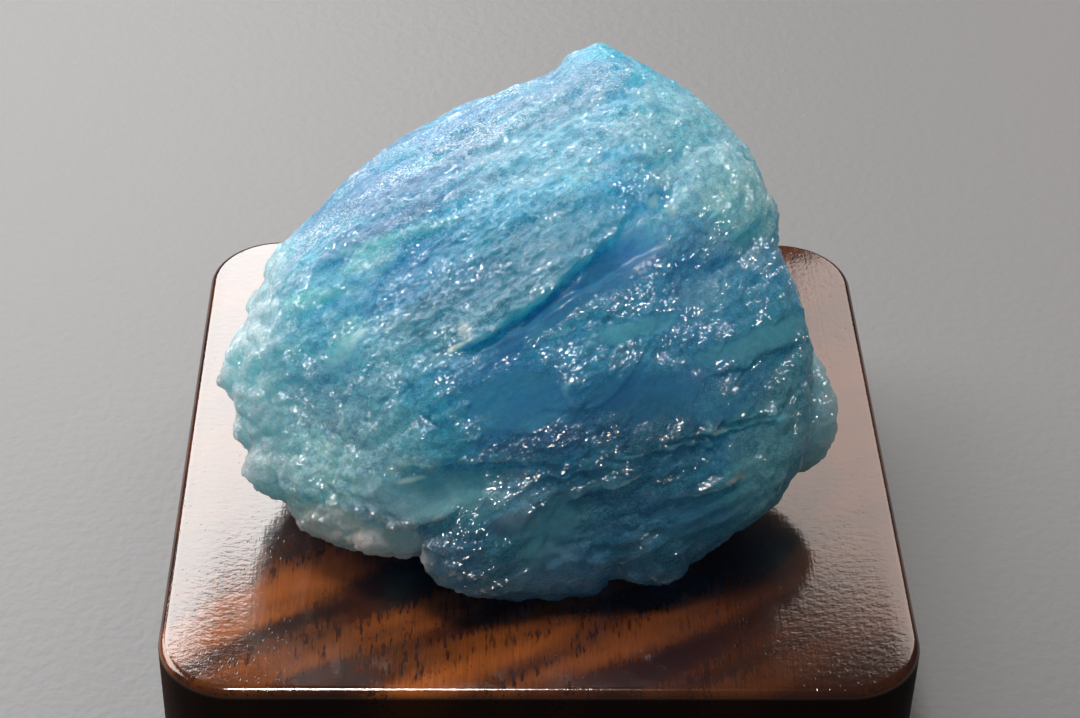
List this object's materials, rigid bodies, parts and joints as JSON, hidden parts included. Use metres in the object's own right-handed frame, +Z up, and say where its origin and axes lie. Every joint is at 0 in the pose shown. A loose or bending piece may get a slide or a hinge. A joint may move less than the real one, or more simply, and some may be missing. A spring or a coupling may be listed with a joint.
{
  "type": "aquamarine crystal specimen on a display stand",
  "caption": "Rough etched aquamarine crystal resting on a square block stand of lacquered wood with rounded corners.",
  "frame": {"origin": "centre of the stand's flat underside", "axes": "+Z up, -Y towards the side that the stone's broad face leans over, +X along the stone's length"},
  "size_m": [0.09, 0.09, 0.0755],
  "materials": {
    "clear_aquamarine": "finely etched translucent blue to sea-green crystal, sparkling",
    "lacquered_wood": "open-pored red-brown timber under a thin gloss lacquer"
  },
  "bodies": {
    "root": {"aquamarine": "clear_aquamarine", "wood_stand": "lacquered_wood"}
  },
  "joints": []
}
